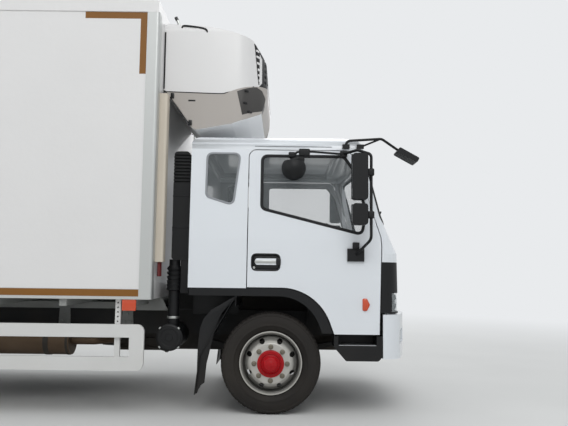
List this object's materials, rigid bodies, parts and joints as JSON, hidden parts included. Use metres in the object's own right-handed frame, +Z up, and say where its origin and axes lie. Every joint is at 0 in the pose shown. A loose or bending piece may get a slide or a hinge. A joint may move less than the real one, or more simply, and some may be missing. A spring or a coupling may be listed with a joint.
{
  "type": "refrigerated box truck",
  "caption": "Refrigerated box truck: cab-over chassis with insulated body, rear doors, cooling unit over the cab, opening cab doors, steering and rolling wheels.",
  "frame": {"origin": "on the ground, under the middle of the truck's length and width", "axes": "+X to the front of the truck, +Y to its left, +Z up"},
  "size_m": [8.3697, 2.57, 3.47],
  "materials": {
    "white_paint": "gloss baked enamel",
    "box_skin": "smooth glass-fibre skin",
    "unit_plastic": "moulded, satin",
    "unit_grey": "moulded, satin grey-beige",
    "grey_aluminium": "extruded, satin",
    "stainless": "brushed",
    "chassis_paint": "satin chassis paint",
    "bearer_paint": "grey primer, dusty",
    "guard_paint": "satin powder coat",
    "tyre": "moulded rubber",
    "wheel_paint": "silver wheel paint",
    "hub_paint": "red enamel",
    "cast": "as cast, painted",
    "black_plastic": "moulded, fine grain",
    "hose_cover": "moulded, beige",
    "glass": "clear, green tint",
    "seat_fabric": "woven",
    "dash_plastic": "moulded grain",
    "muffler_steel": "heat-stained",
    "tank_aluminium": "mill finish",
    "lamp": "clear moulded"
  },
  "bodies": {
    "truck": {"battery_box": "black_plastic", "box_bearers": "bearer_paint", "box_edge_trims": "grey_aluminium", "box_floor": "grey_aluminium", "box_front_wall": "box_skin", "box_roof": "box_skin", "box_side_walls": "box_skin", "cab_floor": "chassis_paint", "cab_front": "white_paint", "cab_glass": "glass", "cab_rear_body": "white_paint", "cab_roof": "white_paint", "chassis_rails": "chassis_paint", "corner_deflectors": "black_plastic", "crossmembers": "chassis_paint", "dashboard": "dash_plastic", "engine_block": "cast", "entry_steps": "black_plastic", "front_arches": "black_plastic", "front_axle": "cast", "front_bumper": "white_paint", "front_grille": "black_plastic", "front_view_mirror": "black_plastic", "fuel_tank": "tank_aluminium", "hose_cover": "hose_cover", "intake_snorkel": "black_plastic", "lamps": "lamp", "leaf_springs": "chassis_paint", "muffler": "muffler_steel", "rear_axle": "cast", "rear_frame": "stainless", "rear_mudguards": "black_plastic", "seats": "seat_fabric", "side_guards": "guard_paint", "underrun_bar": "chassis_paint", "unit_grille": "black_plastic", "unit_lower_shell": "unit_grey", "unit_upper_shell": "unit_plastic"},
    "door_left": {"door_left": "white_paint", "door_glass_left": "glass", "mirrors_left": "black_plastic"},
    "door_right": {"door_right": "white_paint", "door_glass_right": "glass", "mirrors_right": "black_plastic"},
    "knuckle_left": {"knuckle_left": "cast"},
    "knuckle_right": {"knuckle_right": "cast"},
    "wheel_front_left": {"tyre_front_left": "tyre", "wheel_front_left": "wheel_paint", "hub_front_left": "hub_paint"},
    "wheel_front_right": {"tyre_front_right": "tyre", "wheel_front_right": "wheel_paint", "hub_front_right": "hub_paint"},
    "wheels_rear_left": {"tyres_rear_left": "tyre", "wheels_rear_left": "wheel_paint", "hub_rear_left": "hub_paint"},
    "wheels_rear_right": {"tyres_rear_right": "tyre", "wheels_rear_right": "wheel_paint", "hub_rear_right": "hub_paint"},
    "rear_door_left": {"rear_door_left": "box_skin"},
    "rear_door_right": {"rear_door_right": "box_skin"}
  },
  "joints": [
    {"name": "door_left_hinge", "type": "hinge", "parent": "truck", "child": "door_left", "pos_m": [3.896, 1.06, 1.4], "axis": [0, 0, -1], "range_deg": [0, 70]},
    {"name": "door_right_hinge", "type": "hinge", "parent": "truck", "child": "door_right", "pos_m": [3.896, -1.06, 1.4], "axis": [0, 0, 1], "range_deg": [0, 70]},
    {"name": "steer_left", "type": "hinge", "parent": "truck", "child": "knuckle_left", "pos_m": [2.975, 0.78, 0.42], "axis": [0, 0, 1], "range_deg": [-36, 36]},
    {"name": "steer_right", "type": "hinge", "parent": "truck", "child": "knuckle_right", "pos_m": [2.975, -0.78, 0.42], "axis": [0, 0, 1], "range_deg": [-36, 36]},
    {"name": "spin_front_left", "type": "hinge", "parent": "knuckle_left", "child": "wheel_front_left", "pos_m": [2.975, 0.91, 0.42], "axis": [0, 1, 0], "continuous": true},
    {"name": "spin_front_right", "type": "hinge", "parent": "knuckle_right", "child": "wheel_front_right", "pos_m": [2.975, -0.91, 0.42], "axis": [0, 1, 0], "continuous": true},
    {"name": "spin_rear_left", "type": "hinge", "parent": "truck", "child": "wheels_rear_left", "pos_m": [-1.525, 0.865, 0.42], "axis": [0, 1, 0], "continuous": true},
    {"name": "spin_rear_right", "type": "hinge", "parent": "truck", "child": "wheels_rear_right", "pos_m": [-1.525, -0.865, 0.42], "axis": [0, 1, 0], "continuous": true},
    {"name": "rear_door_left_hinge", "type": "hinge", "parent": "truck", "child": "rear_door_left", "pos_m": [-4.13, 1.205, 2.2], "axis": [0, 0, -1], "range_deg": [0, 270]},
    {"name": "rear_door_right_hinge", "type": "hinge", "parent": "truck", "child": "rear_door_right", "pos_m": [-4.13, -1.205, 2.2], "axis": [0, 0, 1], "range_deg": [0, 270]}
  ],
  "couplings": [
    {"joint": "steer_left", "follows": "steer_right", "ratio": 1}
  ]
}
